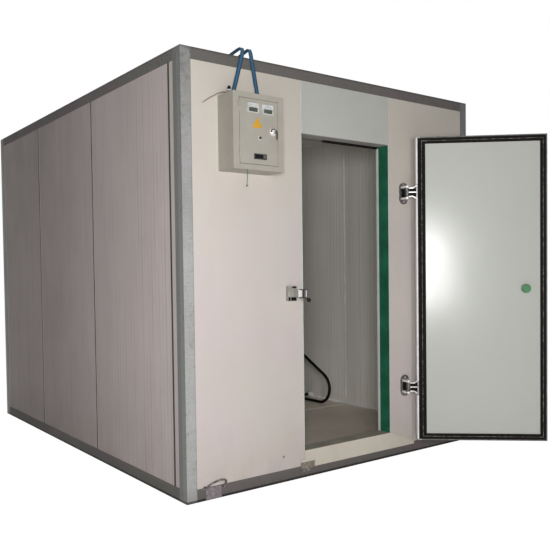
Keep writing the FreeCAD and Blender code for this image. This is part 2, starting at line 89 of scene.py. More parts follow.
def place(x, y, z):
    """A point given in the room's millimetres, in the frame's metres."""
    return Vector(((x - ROOM_W / 2) / 1000, (y - ROOM_D / 2) / 1000, z / 1000))


def opened(x, y, z):
    """A point of the shut door, in millimetres, where it is with the door open."""
    angle = math.radians(OPEN_ANGLE)
    dx = x - HINGE_AT[0]
    dy = y - HINGE_AT[1]
    return (HINGE_AT[0] + dx * math.cos(angle) - dy * math.sin(angle),
            HINGE_AT[1] + dx * math.sin(angle) + dy * math.cos(angle), z)


SIDE_SEAMS = [place(x, y, 0.0) for y in SIDE_JOINTS for x in (0.0, ROOM_W)]
HINGE_LINE = place(*HINGE_AT, 0.0)
SHEET_CHIP = place(640.0, 0.0, 148.0)


# Materials

class Shader:
    """A node material with a few short ways to add nodes."""

    def __init__(self, name):
        self.mat = bpy.data.materials.new(name)
        self.mat.use_nodes = True
        self.tree = self.mat.node_tree
        self.tree.nodes.clear()
        self.out = self.add("ShaderNodeOutputMaterial")
        self.bsdf = self.add("ShaderNodeBsdfPrincipled")
        self.link(self.bsdf.outputs["BSDF"], self.out.inputs["Surface"])
        self.coords = self.add("ShaderNodeTexCoord").outputs["Object"]

    def add(self, kind, values=(), **settings):
        """A node with its settings, and the values of its sockets."""
        node = self.tree.nodes.new(kind)
        for key, value in settings.items():
            setattr(node, key, value)
        for key, value in dict(values).items():
            node.inputs[key].default_value = value
        return node

    def link(self, a, b):
        self.tree.links.new(a, b)

    def set(self, **values):
        for key, value in values.items():
            self.bsdf.inputs[key.replace("_", " ")].default_value = value

    def stretch(self, x, y, z):
        node = self.add("ShaderNodeMapping", {"Scale": (x, y, z)})
        self.link(self.coords, node.inputs["Vector"])
        return node.outputs["Vector"]

    def axis(self, letter):
        node = self.add("ShaderNodeSeparateXYZ")
        self.link(self.coords, node.inputs[0])
        return node.outputs[letter]

    def size_of(self, letter):
        node = self.add("ShaderNodeMath", operation="ABSOLUTE")
        self.link(self.axis(letter), node.inputs[0])
        return node.outputs[0]

    def noise(self, scale, detail=3.0, roughness=0.55, vector=None):
        node = self.add("ShaderNodeTexNoise", {"Scale": scale, "Detail": detail, "Roughness": roughness})
        self.link(vector or self.coords, node.inputs["Vector"])
        return node.outputs["Fac"]

    def ramp(self, value, stops):
        node = self.add("ShaderNodeValToRGB")
        ramp = node.color_ramp
        while len(ramp.elements) < len(stops):
            ramp.elements.new(0.5)
        for element, (at, colour) in zip(ramp.elements, stops):
            element.position = at
            element.color = (*colour, 1)
        self.link(value, node.inputs["Fac"])
        return node.outputs["Color"]

    def grey_ramp(self, value, low, high, dark=0.0, light=1.0):
        return self.ramp(value, [(low, (dark,) * 3), (high, (light,) * 3)])

    def span(self, value, low, high):
        """0 below low and 1 above high, for values outside 0 to 1 as well."""
        node = self.add("ShaderNodeMapRange", {"From Min": low, "From Max": high})
        self.link(value, node.inputs["Value"])
        return node.outputs["Result"]

    def level(self, letter, low, high):
        """0 to 1 along an axis, from low to high in metres."""
        return self.span(self.axis(letter), low, high)

    def outward(self, letter, low, high):
        """0 to 1 away from the room's middle along an axis, from low to high in metres."""
        return self.span(self.size_of(letter), low, high)

    def away(self, at, flat=False):
        """Distance from a point, or from the upright line through it."""
        node = self.add("ShaderNodeVectorMath", {1: at}, operation="DISTANCE")
        self.link(self.stretch(1, 1, 0 if flat else 1), node.inputs[0])
        return node.outputs["Value"]

    def upward(self):
        """1 on faces that look up."""
        node = self.add("ShaderNodeSeparateXYZ")
        self.link(self.add("ShaderNodeTexCoord").outputs["Normal"], node.inputs[0])
        return self.span(node.outputs["Z"], 0.7, 0.9)

    def times(self, a, b):
        node = self.add("ShaderNodeMath", operation="MULTIPLY")
        for socket, value in zip(node.inputs, (a, b)):
            if hasattr(value, "links"):
                self.link(value, socket)
            else:
                socket.default_value = value
        return node.outputs[0]

    def mix(self, factor, a, b, blend="MIX"):
        node = self.add("ShaderNodeMix", data_type="RGBA", blend_type=blend)
        for socket, value in ((0, factor), (6, a), (7, b)):
            if hasattr(value, "links"):
                self.link(value, node.inputs[socket])
            else:
                node.inputs[socket].default_value = value if socket == 0 else (*value[:3], 1)
        return node.outputs[2]

    def marked(self, base, colour, marks):
        """The colour with marks on it: how much of each, and how dark or light it is."""
        for amount, factor in marks:
            base = self.mix(amount, base, tone(colour, factor))
        return base

    def tinted(self, base, tint):
        return self.mix(1.0, base, tint, "MULTIPLY")

    def bump(self, height, strength, distance, normal=None):
        node = self.add("ShaderNodeBump", {"Strength": strength, "Distance": distance})
        self.link(height, node.inputs["Height"])
        if normal is not None:
            self.link(normal, node.inputs["Normal"])
        return node.outputs["Normal"]

    def scratches(self, scale, stretch, low, high):
        """Thin broken lines: a stretched noise that only shows near the middle of its range."""
        value = self.noise(scale, 2.0, 0.5, self.stretch(*stretch))
        return self.ramp(value, [(low, (0,) * 3), ((low + high) / 2, (1,) * 3), (high, (0,) * 3)])

    def finish_by(self, value, colour, roughness, bump):
        """Finishes with roughness and bump that follow one pattern."""
        return self.finish(colour, self.grey_ramp(value, 0.3, 0.7, *roughness), self.bump(value, *bump))

    def finish(self, colour, roughness, normal):
        self.link(colour, self.bsdf.inputs["Base Color"])
        self.link(roughness, self.bsdf.inputs["Roughness"])
        self.link(normal, self.bsdf.inputs["Normal"])
        return self.mat


def tone(colour, factor):
    """A colour made darker or lighter."""
    return tuple(c * factor for c in colour)


def sheet(name, colour, rib_axis=None, dirt=0.1, roughness=0.5, foot_dirt=0.5, gloss=0.12,
                   inside=None, blush=0.0, top=None, chip=None, rear_shade=1.0, uneven=0.2, shaded_seams=()):
    """Coated steel sheet: smudges, faint streaks, a dirty foot and, on some sheets, fine upright ribs."""
    s = Shader(name)
    cloud = s.noise(1.3, 4.0, vector=s.stretch(1, 1, 0.7))
    smudge = s.noise(3.0, 6.0, 0.62, s.stretch(3, 3, 1.6))
    streak = s.noise(1.0, vector=s.stretch(26, 26, 0.9))
    speck = s.noise(46.0, 5.0, 0.7)
    tint = (1.0, 1.0, 1.0)
    if blush:
        warm = s.grey_ramp(s.noise(2.2), 0.3, 0.7, 0.3, 1.0)
        tint = s.mix(s.times(s.times(s.level("Z", 2.3, 0.9), warm), blush), tint, (1.0, 0.952, 1.07))
    if inside is not None:
        within = s.times(s.outward("X", SIDE_M - 0.045, SIDE_M - 0.055),
                         s.outward("Y", END_M - 0.045, END_M - 0.055))
        within = s.times(within, s.level("Z", CEILING / 1000 + 0.02, CEILING / 1000 + 0.01))
        tint = s.mix(within, tint, tuple(a / b for a, b in zip(inside, colour)))
    base = s.mix(s.grey_ramp(cloud, 0.35, 0.7), tone(colour, 1 - dirt), tone(colour, 1.03))
    base = s.marked(base, colour, [
        (s.grey_ramp(smudge, 0.54, 0.82, 0.0, dirt * 2), 0.74),
        (s.grey_ramp(streak, 0.5, 0.85, 0.0, dirt * 1.4), 0.8),
        (s.grey_ramp(speck, 0.66, 0.74, 0.0, dirt * 3), 0.6)])
    foot = s.times(s.level("Z", 0.42, 0.06), s.grey_ramp(smudge, 0.35, 0.7, 0.15, 1.0))
    base = s.mix(s.times(foot, foot_dirt), base, tone((colour[0], colour[1] * 0.96, colour[2] * 0.9), 0.78))
    base = s.tinted(base, tint)
    normal = s.bump(smudge, 0.06, 0.004)
    if rib_axis is not None:
        wave = s.add("ShaderNodeTexWave", {"Scale": math.tau / 20 / RIB_PITCH_M}, bands_direction=rib_axis)
        s.link(s.coords, wave.inputs["Vector"])
        groove = s.grey_ramp(wave.outputs["Fac"], 0.03, 0.26)
        # Painted shade in the rib grooves, shown in patches; between the patches the whole sheet is a little
        # darker
        patchy = s.grey_ramp(s.noise(1.0, 4.0, vector=s.stretch(14, 14, 0.8)), 0.42, 0.68)
        base = s.mix(s.mix(patchy, (1, 1, 1), groove), s.tinted(base, (0.78, 0.78, 0.78)), base)
        normal = s.bump(groove, 0.45, 0.0016, normal)
    if rear_shade < 1.0:
        # Painted shade: the sheet grows darker towards the back, down to this factor
        base = s.mix(s.level("Y", -0.75, 0.5), base, s.tinted(base, (rear_shade,) * 3))
    # Painted shade: dark bands along the joints between the wall panels, where the grooves' shade falls
    base = s.marked(base, colour, [
        (s.times(s.span(s.away(at, flat=True), 0.0125, 0.0085), 0.8), 0.22) for at in shaded_seams])
    if top is not None:
        base = s.mix(s.upward(), base, s.mix(s.grey_ramp(smudge, 0.3, 0.7), tone(top, 0.75), tone(top, 1.1)))
    if chip is not None:
        base = s.mix(s.times(s.span(s.away(chip), 0.009, 0.005), 0.75), base, (0.05, 0.05, 0.05))
    s.set(Specular_IOR_Level=gloss)
    rough = s.grey_ramp(smudge, 0.3, 0.8, roughness - uneven * 0.3, roughness + uneven * 0.7)
    return s.finish(base, rough, normal)


def aluminium(name, colour, metallic=0.3, angle=False, gloss=0.2, rear_shade=1.0):
    """Mill finish aluminium: dull patches, brighter rubbed places, pits and scratches, darker at the foot."""
    s = Shader(name)
    patch = s.noise(3.6, 6.0, 0.68)
    pits = s.noise(34.0, 5.0, 0.74)
    tinge = s.noise(2.3)
    base = s.mix(s.grey_ramp(patch, 0.36, 0.66), tone(colour, 0.74), tone(colour, 1.14))
    marks = [
        (s.grey_ramp(pits, 0.56, 0.72, 0.0, 0.6), 0.5),
        (s.grey_ramp(pits, 0.42, 0.3, 0.0, 0.4), 1.5),
        (s.times(s.scratches(7.0, (1, 1, 9), 0.485, 0.515), 0.5), 1.6),
        (s.times(s.scratches(6.0, (9, 9, 1), 0.49, 0.512), 0.45), 0.6),
    ]
    if angle:
        mottled_top = s.times(s.level("Z", 2.05, TOP_M), s.grey_ramp(pits, 0.42, 0.58))
        marks += [
            # Marks on the corner angles: painted shade on the side flange beyond 42 mm from the corner, a
            # dark line at the front flange's inner edge, a dark mottle at the top, darker towards the top, a
            # darker outer side face and darker angles on the right-hand side
            (s.times(s.outward("Y", END_M - 0.036, END_M - 0.042), 0.5), 0.42),
            (s.times(s.outward("X", SIDE_M - 0.055, SIDE_M - 0.058), 0.45), 0.4),
            (s.times(mottled_top, 0.85), 0.4),
            (s.times(s.level("Z", 1.3, 2.3), 0.28), 0.5),
            (s.times(s.outward("X", SIDE_M + 0.001, SIDE_M + 0.0016), 0.55), 0.4),
            (s.times(s.level("X", 0.0, 0.1), 0.6), 0.3),
        ]
    if rear_shade < 1.0:
        # Painted shade: the side faces grow darker towards the back, down to this factor; the faces standing
        # out at the front and back ends are darker too
        marks += [
            (s.times(s.level("Y", FRONT_M, END_M), s.outward("X", SIDE_M - 0.01, SIDE_M)), rear_shade),
            (s.times(s.outward("Y", END_M - 0.0005, END_M + 0.0005), 0.6), 0.76),
        ]
    base = s.marked(base, colour, marks)
    base = s.mix(s.grey_ramp(tinge, 0.35, 0.5, 0.6, 0.0), base, s.tinted(base, (1.05, 0.94, 1.03)))
    base = s.mix(s.grey_ramp(tinge, 0.52, 0.66, 0.0, 0.6), base, s.tinted(base, (0.95, 1.03, 0.96)))
    foot = tone((colour[0], colour[1] * 0.92, colour[2] * 0.92), 0.5)
    base = s.mix(s.times(s.level("Z", 0.1, 0.0), 0.4), base, foot)
    # A painted shadow line along the foot, and a darker line along the top edge
    base = s.marked(base, colour, [
        (s.times(s.level("Z", 0.016, 0.011), 0.85), 0.1),
        (s.times(s.level("Z", TOP_M - 0.012, TOP_M - 0.002), 0.6), 0.35)])
    s.set(Metallic=metallic, Specular_IOR_Level=gloss)
    normal = s.bump(s.noise(220.0, 2.0), 0.1, 0.0006, s.bump(pits, 0.25, 0.0012))
    return s.finish(base, s.grey_ramp(patch, 0.3, 0.75, 0.47, 0.69), normal)


def rim_material(name):
    """Edge frame of the door: white on the hinge side as a painted highlight, dull grey elsewhere."""
    s = Shader(name)
    spots = s.noise(40.0, 4.0)
    grey = s.mix(s.grey_ramp(spots, 0.35, 0.68), (0.12, 0.12, 0.115), (0.20, 0.20, 0.19))
    # Painted highlight: the rim is white near the hinge
    base = s.mix(s.span(s.away(HINGE_LINE, flat=True), 0.094, 0.088), grey, (0.70, 0.69, 0.68))
    s.set(Specular_IOR_Level=0.2)
    return s.finish_by(spots, base, (0.35, 0.5), (0.1, 0.0006))


def joint_plate_material(name):
    """Plate at the sill's joint: brown in the middle, pale above it and rail grey below."""
    s = Shader(name)
    spots = s.noise(55.0, 5.0, 0.7)
    rail = s.ramp(spots, [(0.35, (0.06, 0.055, 0.05)), (0.55, (0.15, 0.135, 0.13)), (0.7, (0.5, 0.48, 0.45))])
    brown = s.mix(s.grey_ramp(spots, 0.35, 0.65), (0.16, 0.135, 0.105), (0.29, 0.25, 0.20))
    base = s.mix(s.level("Z", 0.054, 0.058), rail, brown)
    base = s.mix(s.level("Z", 0.091, 0.095), base, (0.60, 0.55, 0.48))
    s.set(Specular_IOR_Level=0.2)
    return s.finish_by(spots, base, (0.4, 0.55), (0.3, 0.001))


def strap_material(name):
    """Hinge strap: bright ribs, dark round the pin."""
    s = Shader(name)
    spots = s.noise(110.0, 4.0, 0.7)
    bright = s.mix(s.grey_ramp(spots, 0.36, 0.5), (0.30, 0.27, 0.27), (0.66, 0.64, 0.64))
    base = s.mix(s.span(s.away(HINGE_LINE, flat=True), 0.017, 0.0145), bright, worn_metal(s, 110.0))
    s.set(Metallic=0.4)
    return s.finish_by(spots, base, (0.28, 0.4), (0.15, 0.0006))


def handle_material(name):
    """Lifting handle: a pinkish grey plate and a dark bar in front of it, with painted highlights in places
    on the bar.
    """
    s = Shader(name)
    spots = s.noise(60.0, 4.0, 0.7)
    plate = s.mix(s.grey_ramp(spots, 0.4, 0.65), (0.15, 0.125, 0.13), (0.27, 0.235, 0.25))
    # The bar's bright stop is a painted highlight
    bar = s.ramp(spots, [(0.35, (0.035, 0.03, 0.026)), (0.55, (0.11, 0.095, 0.085)),
                       (0.72, (0.45, 0.42, 0.40))])
    base = s.mix(s.level("Y", FRONT_M - 0.0053, FRONT_M - 0.0062), plate, bar)
    s.set(Metallic=0.3)
    return s.finish_by(spots, base, (0.35, 0.5), (0.3, 0.0008))


def seal_material(name):
    """Head seal: black rubber, grey over its left third."""
    s = Shader(name)
    seal_grain = s.noise(24.0, 4.0)
    base = s.mix(s.level("X", -0.14, -0.10), (0.11, 0.105, 0.095), (0.008, 0.007, 0.007))
    s.set(Specular_IOR_Level=0.1)
    return s.finish_by(seal_grain, base, (0.5, 0.7), (0.2, 0.0008))


def plain(name, colour, roughness=0.5, metallic=0.0, grain=120.0, bump=0.15, spread=0.12, gloss=0.2):
    """Moulded, painted or plated surface with a fine grain and slight colour changes."""
    s = Shader(name)
    fine = s.noise(grain, 3.0)
    patch = s.noise(9.0, 4.0)
    base = s.mix(s.grey_ramp(patch, 0.35, 0.7), tone(colour, 1 - spread), tone(colour, 1 + spread / 2))
    s.set(Metallic=metallic, Specular_IOR_Level=gloss)
    rough = s.grey_ramp(patch, 0.3, 0.7, max(0.02, roughness - 0.05), roughness + 0.08)
    return s.finish(base, rough, s.bump(fine, bump, 0.0008))


def webbing_material(name, colour):
    """Woven strap: a fine weave, a paler middle and dark edges, by the mesh's own across value."""
    s = Shader(name)
    across = s.add("ShaderNodeAttribute", attribute_name="across").outputs["Fac"]
    along = s.add("ShaderNodeAttribute", attribute_name="along").outputs["Fac"]
    weave = s.add("ShaderNodeMath", operation="SINE")
    s.link(s.times(along, 2600.0), weave.inputs[0])
    yarn = s.span(weave.outputs[0], -1.0, 1.0)
    worn = s.noise(34.0, 4.0, 0.65)
    base = s.ramp(across, [(0.0, tone(colour, 0.25)), (0.2, tone(colour, 0.3)), (0.32, tone(colour, 0.9)),
                           (0.5, tone(colour, 1.5)), (0.68, tone(colour, 0.9)), (0.8, tone(colour, 0.3)),
                           (1.0, tone(colour, 0.25))])
    base = s.mix(s.times(yarn, 0.3), base, tone(colour, 0.55))
    base = s.mix(s.grey_ramp(worn, 0.5, 0.75, 0.0, 0.35), base, tone(colour, 1.9))
    return s.finish(base, s.grey_ramp(worn, 0.3, 0.7, 0.6, 0.8), s.bump(yarn, 0.4, 0.0006))


def cord_material(name, colour):
    """Thin twisted string."""
    s = Shader(name)
    wave = s.add("ShaderNodeTexWave", {"Scale": 160.0}, bands_direction="DIAGONAL")
    s.link(s.coords, wave.inputs["Vector"])
    base = s.mix(wave.outputs["Fac"], tone(colour, 0.6), tone(colour, 1.2))
    rough = s.grey_ramp(wave.outputs["Fac"], 0.2, 0.8, 0.7, 0.85)
    return s.finish(base, rough, s.bump(wave.outputs["Fac"], 0.4, 0.0004))


def meter_material(name):
    """White meters above the height of the button, and black fittings below it."""
    s = Shader(name)
    fine = s.noise(260.0)
    grime = s.noise(40.0, 4.0)
    white = s.mix(s.grey_ramp(grime, 0.4, 0.7), (0.64, 0.65, 0.66), (0.40, 0.42, 0.39))
    base = s.mix(s.level("Z", 2.02, 2.03), (0.018, 0.018, 0.019), white)
    return s.finish(base, s.grey_ramp(grime, 0.3, 0.7, 0.3, 0.42), s.bump(fine, 0.1, 0.0004))


def gasket_strip_material(name):
    """Narrow strip between the gasket's lips: pale in short broken lengths, dark elsewhere."""
    s = Shader(name)
    patch = s.noise(26.0, 5.0, 0.75)
    base = s.mix(s.grey_ramp(patch, 0.46, 0.62), (0.035, 0.03, 0.03), (0.24, 0.235, 0.23))
    s.set(Specular_IOR_Level=0.3)
    return s.finish_by(patch, base, (0.3, 0.45), (0.4, 0.001))


def worn_metal(s, scale):
    """Colour of dull mottled metal with dark pits."""
    patch = s.noise(scale, 5.0, 0.7)
    return s.ramp(patch, [(0.3, (0.012, 0.010, 0.010)), (0.5, (0.09, 0.08, 0.075)),
                          (0.68, (0.42, 0.40, 0.39))])


def bracket_material(name):
    """Hinge bracket: a dull mottled plate on the wall, bright arms and pin in front of it."""
    s = Shader(name)
    fine = s.noise(300.0, 2.0)
    arms = s.level("Y", FRONT_M - 0.0066, FRONT_M - 0.0085)
    base = s.mix(arms, worn_metal(s, 75.0), (0.85, 0.83, 0.82))
    s.set(Metallic=0.3)
    return s.finish_by(fine, base, (0.3, 0.42), (0.12, 0.0005))


def strike_material(name):
    """Latch strike: mottled block and neck, a bright roller with a painted highlight streak and painted shade
    round it, and a black knob.
    """
    s = Shader(name)
    fine = s.noise(300.0, 2.0)
    drop = s.add("ShaderNodeMath", {1: sum(STRIKE_Z) / 2000}, operation="SUBTRACT")
    s.link(s.axis("Z"), drop.inputs[0])
    apart = s.add("ShaderNodeMath", operation="ABSOLUTE")
    s.link(drop.outputs[0], apart.inputs[0])
    base = worn_metal(s, 60.0)
    block = s.mix(0.7, base, (0.42, 0.41, 0.38))
    base = s.mix(s.level("Y", FRONT_M - 0.060, FRONT_M - 0.063), block, (0.94, 0.94, 0.92))
    # Painted highlight down the roller: a bright streak with painted shade either side
    streak = s.times(s.level("X", -0.428, -0.426), s.level("X", -0.417, -0.419))
    roller = s.mix(streak, (0.05, 0.048, 0.045), (0.62, 0.61, 0.60))
    base = s.mix(s.level("Y", FRONT_M - 0.082, FRONT_M - 0.086), base, roller)
    # Painted shade above and below the roller
    roller_outline_shade = s.times(s.span(apart.outputs[0], 0.0195, 0.0202), s.level("Y", FRONT_M - 0.066, FRONT_M - 0.068))
    base = s.mix(roller_outline_shade, base, (0.05, 0.045, 0.045))
    base = s.mix(s.level("Y", FRONT_M - 0.121, FRONT_M - 0.123), base, (0.012, 0.012, 0.012))
    s.set(Metallic=0.2, Specular_IOR_Level=0.12)
    return s.finish_by(fine, base, (0.3, 0.42), (0.12, 0.0005))


WHITE_SHEET = (0.61, 0.565, 0.50)
INSIDE_SHEET = (0.85, 0.82, 0.765)

MATERIALS = {
    "side_y": sheet("wall_sheet_ribs_y", (0.69, 0.605, 0.585), "Y", gloss=0.04, inside=INSIDE_SHEET,
        rear_shade=0.7, shaded_seams=SIDE_SEAMS),
    "side_x": sheet("wall_sheet_ribs_x", (0.61, 0.535, 0.515), "X", gloss=0.04, inside=INSIDE_SHEET),
    "roof": sheet("roof_sheet", (0.46, 0.44, 0.42), "X", foot_dirt=0.0, inside=(0.95, 0.93, 0.88)),
    "front": sheet("front_sheet", WHITE_SHEET, dirt=0.05, blush=1.0, inside=INSIDE_SHEET,
        top=(0.36, 0.33, 0.26), chip=SHEET_CHIP),
    "front_cool": sheet("front_sheet_cool", (0.52, 0.52, 0.49), dirt=0.05, inside=INSIDE_SHEET),
    "floor": sheet("floor_sheet", (0.80, 0.71, 0.61), dirt=0.22, roughness=0.5, foot_dirt=0.2),
    "sill": sheet("sill_sheet", (0.70, 0.645, 0.555), dirt=0.16, foot_dirt=0.25,
        top=(0.40, 0.365, 0.30)),
    "angle": aluminium("aluminium_angle", (0.325, 0.323, 0.318), angle=True),
    "rail": aluminium("aluminium_rail", (0.165, 0.152, 0.145), metallic=0.1, gloss=0.06, rear_shade=0.6),
    "steel": aluminium("plate_steel", (0.19, 0.155, 0.13)),
    "handle": handle_material("lifting_handle"),
    "seal": seal_material("head_seal"),
    "wire": plain("brown_wire", (0.14, 0.075, 0.06), 0.5),
    "key": plain("lock_key", (0.10, 0.075, 0.06), 0.35, metallic=0.5),
    "bright": plain("bright_metal", (0.86, 0.85, 0.84), 0.25, metallic=0.4, spread=0.1),
    "rim": rim_material("rim"),
    "joint_plate": joint_plate_material("joint_plate"),
    "hinge_strap": strap_material("hinge_strap"),
    "trim": plain("pale_trim", (0.62, 0.64, 0.62), 0.35),
    "green": plain("lining_green", (0.02, 0.135, 0.075), 0.4, grain=60, spread=0.3),
    "leaf": sheet("leaf_sheet", (0.50, 0.51, 0.47), dirt=0.025, roughness=0.2, foot_dirt=0.1,
        gloss=0.5, uneven=0.05),
    "rubber": plain("black_rubber", (0.0085, 0.0072, 0.0052), 0.55, grain=90, gloss=0.07),
    "lip": gasket_strip_material("gasket_strip"),
    "box_shade": plain("grey_paint_shade", (0.34, 0.32, 0.285), 0.5, spread=0.06),
    "meter_window": plain("meter_window", (0.09, 0.105, 0.085), 0.2, grain=60, spread=0.5),
    "bracket": bracket_material("hinge_bracket"),
    "strike": strike_material("latch_strike"),
    # Painted shade: the head lining is a darker grey than the front sheet's beige, for the shade under the
    # lintel
    "lintel": sheet("lintel_sheet", (0.40, 0.375, 0.36), dirt=0.1),
    "joint": plain("joint_dark", (0.06, 0.05, 0.038), 0.7, spread=0.4),
    "joint_edge": plain("joint_edge", (0.72, 0.67, 0.64), 0.5, grain=50, spread=0.2),
    "sealant": plain("sealant", (0.86, 0.85, 0.82), 0.5, grain=50, spread=0.2),
    "chrome": plain("chrome", (0.62, 0.61, 0.61), 0.3, metallic=0.6, grain=40, bump=0.04,
        spread=0.2),
    "knob_green": plain("green_plastic", (0.10, 0.30, 0.13), 0.35, grain=70, spread=0.45),
    "box_paint": plain("grey_paint", (0.40, 0.375, 0.325), 0.45, grain=420, bump=0.25, spread=0.06),
    "black": plain("black_plastic", (0.02, 0.02, 0.02), 0.35),
    "glass": plain("display_glass", (0.008, 0.010, 0.009), 0.12, bump=0.02, gloss=0.08),
    "sticker": plain("yellow_sticker", (0.66, 0.36, 0.035), 0.4, spread=0.14),
    "white_plastic": plain("white_plastic", (0.66, 0.66, 0.64), 0.35),
    "white_edge": plain("white_edge", (0.92, 0.90, 0.90), 0.35),
    "instruments": meter_material("instruments"),
    "strap": webbing_material("blue_webbing", (0.024, 0.10, 0.195)),
    "teal": cord_material("teal_cord", (0.015, 0.14, 0.13)),
}

# Which finish each node of the frame takes, by the start of its name
NODE_MATERIAL = {
    "left_wall_panel": "side_y", "right_wall_panel": "side_y", "back_wall_panel": "side_x",
    "roof_panel": "roof", "floor_panel": "floor",
    "front_wall_over_door": "front_cool", "front_wall": "front", "door_sill": "front",
    "head_lining": "lintel", "corner_angle": "angle", "top_rail": "rail", "base_rail": "rail",
    "jamb_lining": "green", "jamb_edge_strips": "trim", "head_seal": "seal",
    "threshold_plate": "sill", "sill_joint_plate": "joint_plate", "lifting_handle": "handle",
    "hinge_bracket": "bracket", "hinge_strap": "hinge_strap", "latch_strike": "strike",
    "latch_handle": "chrome", "door_leaf": "leaf", "door_edge_frame": "rim", "door_gasket": "rubber",
    "release_knob": "knob_green",
    "control_box": "box_paint", "panel_instruments": "instruments", "key_lock": "bright", "lock_key": "key",
    "strap_anchors": "steel", "strap_": "strap", "hose_glands": "white_plastic", "cable_gland": "black",
    "drain_hose": "rubber", "sensor_wire": "wire", "hanging_string": "teal",
}


def dress_nodes():
    """Gives each node of the frame its material."""
    for name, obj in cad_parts.items():
        key = next(k for k in NODE_MATERIAL if name.startswith(k))
        obj.data.materials.clear()
        obj.data.materials.append(MATERIALS[NODE_MATERIAL[key]])


# Small pieces, built face by face

COVER = "control_box_cover"


def put(obj, body, node=None):
    """Links an object to the scene, on a body, in place of a node of the frame if one is named."""
    SCENE.collection.objects.link(obj)
    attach(obj, body)
    if node:
        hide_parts(node)


class Piece:
    """Gathers faces given in the room's millimetres and makes one object of them."""

    def __init__(self, name, material, body="room", slot="aluminium", shut_door=False):
        self.name = name
        self.material = MATERIALS[material]
        self.body = body
        self.slot = slot
        self.where = opened if shut_door else lambda x, y, z: (x, y, z)
        self.verts = []
        self.faces = []

    def bar(self, outline, way):
        """A flat outline pushed along a vector."""
        start = len(self.verts)
        n = len(outline)
        for shift in ((0, 0, 0), way):
            self.verts += [tuple(c + s for c, s in zip(point, shift)) for point in outline]
        self.faces.append(tuple(range(start, start + n)))
        self.faces.append(tuple(range(start + 2 * n - 1, start + n - 1, -1)))
        for i in range(n):
            j = (i + 1) % n
            self.faces.append((start + i, start + j, start + n + j, start + n + i))

    def slab(self, x0, x1, y, z0, z1, way):
        """An upright rectangle facing the front, made thick along y."""
        self.bar([(x0, y, z0), (x1, y, z0), (x1, y, z1), (x0, y, z1)], (0, way, 0))

    def lathe(self, centre, axis, profile, steps=20):
        """A round piece about an axis through centre: profile is a list of radius and height."""
        axis = Vector(axis).normalized()
        side = axis.orthogonal().normalized()
        other = axis.cross(side)
        start = len(self.verts)
        for radius, height in profile:
            for k in range(steps):
                a = math.tau * k / steps
                spoke = side * math.cos(a) + other * math.sin(a)
                self.verts.append(tuple(Vector(centre) + axis * height + spoke * radius))
        for r in range(len(profile) - 1):
            for k in range(steps):
                a = start + r * steps + k
                b = start + r * steps + (k + 1) % steps
                self.faces.append((a, b, b + steps, a + steps))
        self.faces.append(tuple(range(start + steps - 1, start - 1, -1)))
        last = start + (len(profile) - 1) * steps
        self.faces.append(tuple(range(last, last + steps)))

    def done(self, bevel=0.0):
        """Makes the object, with its edges rounded by bevel millimetres."""
        mesh = bpy.data.meshes.new(self.name)
        mesh.from_pydata([place(*self.where(*v)) for v in self.verts], [], self.faces)
        mesh.materials.append(self.material)
        obj = bpy.data.objects.new(self.name, mesh)
        if bevel:
            edge = obj.modifiers.new("edges", "BEVEL")
            edge.width = bevel / 1000
            edge.segments = 2
        put(obj, self.body)


def bead(at, across, out, half=7.0):
    """Section of a low sealant bead, from 3 mm behind a joint's face to 1.2 mm in front of it."""
    return [tuple(a + c * wide + o * high for a, c, o in zip(at, across, out))
            for wide, high in ((-half, -3), (2 - half, 1.2), (half - 2, 1.2), (half, -3))]


def joint_beads():
    """Dark filler in the grooves between panels outside, a painted shadow beside the front corners' grooves,
    and pale sealant on the joints inside.
    """
    dark = Piece("joint_filler_and_shade", "joint", slot="wall_sheet")
    pale = Piece("joint_sealant", "sealant", slot="wall_sheet")
    edge = Piece("joint_edge", "joint_edge", slot="wall_sheet")
    cover = Piece("joint_cover", "side_y", slot="wall_sheet")
    half = 4.6
    deep = 5.2
    mouth = 6.5
    proud = 0.6
    inside_up = (0, 0, CEILING - FLOOR_T)
    for x, inward in ((0.0, 1), (ROOM_W, -1)):
        for y in (CORNER_RETURN, *SIDE_JOINTS):
            low = RAIL_TOP if y > CORNER_RETURN else 2.0
            up = (0, 0, TOP_RAIL_LOW - low)
            outer = x - inward * proud
            groove = [(outer, y - mouth, low), (outer, y + mouth, low), (x + inward, y + mouth, low),
                      (x + inward * deep, y, low), (x + inward, y - mouth, low)]
            # At the front corners the groove is filled flush with wall sheet, and the dark strip beside it is
            # a painted shadow of the corner angle's edge; elsewhere the groove takes dark filler with a pale
            # strip beside it
            filled, strip, wide = (cover, dark, 24) if y == CORNER_RETURN else (dark, edge, 11)
            filled.bar(groove, up)
            a, b = y - wide, y - mouth
            strip.bar([(outer, a, low), (outer, b, low), (x, b, low), (x, a, low)], up)
            pale.bar(bead((x + inward * WALL_T, y, FLOOR_T), (0, 1, 0), (inward, 0, 0)), inside_up)
    middle = ROOM_W / 2
    back = ROOM_D - 0.8
    dark.bar([(middle - half, back, RAIL_TOP), (middle + half, back, RAIL_TOP),
              (middle, ROOM_D - deep, RAIL_TOP)], (0, 0, TOP_RAIL_LOW - RAIL_TOP))
    pale.bar(bead((middle, ROOM_D - WALL_T, FLOOR_T), (1, 0, 0), (0, -1, 0)), inside_up)
    inside_across = (ROOM_W - 2 * WALL_T, 0, 0)
    for y in SIDE_JOINTS:
        top = ROOM_H - 0.8
        dark.bar([(60, y - half, top), (60, y + half, top), (60, y, top - deep)], (ROOM_W - 120, 0, 0))
        pale.bar(bead((WALL_T, y, CEILING), (0, 1, 0), (0, 0, -1)), inside_across)
        pale.bar(bead((WALL_T, y, FLOOR_T), (0, 1, 0), (0, 0, 1), 8.0), inside_across)
    for piece in (dark, pale, edge, cover):
        piece.done()


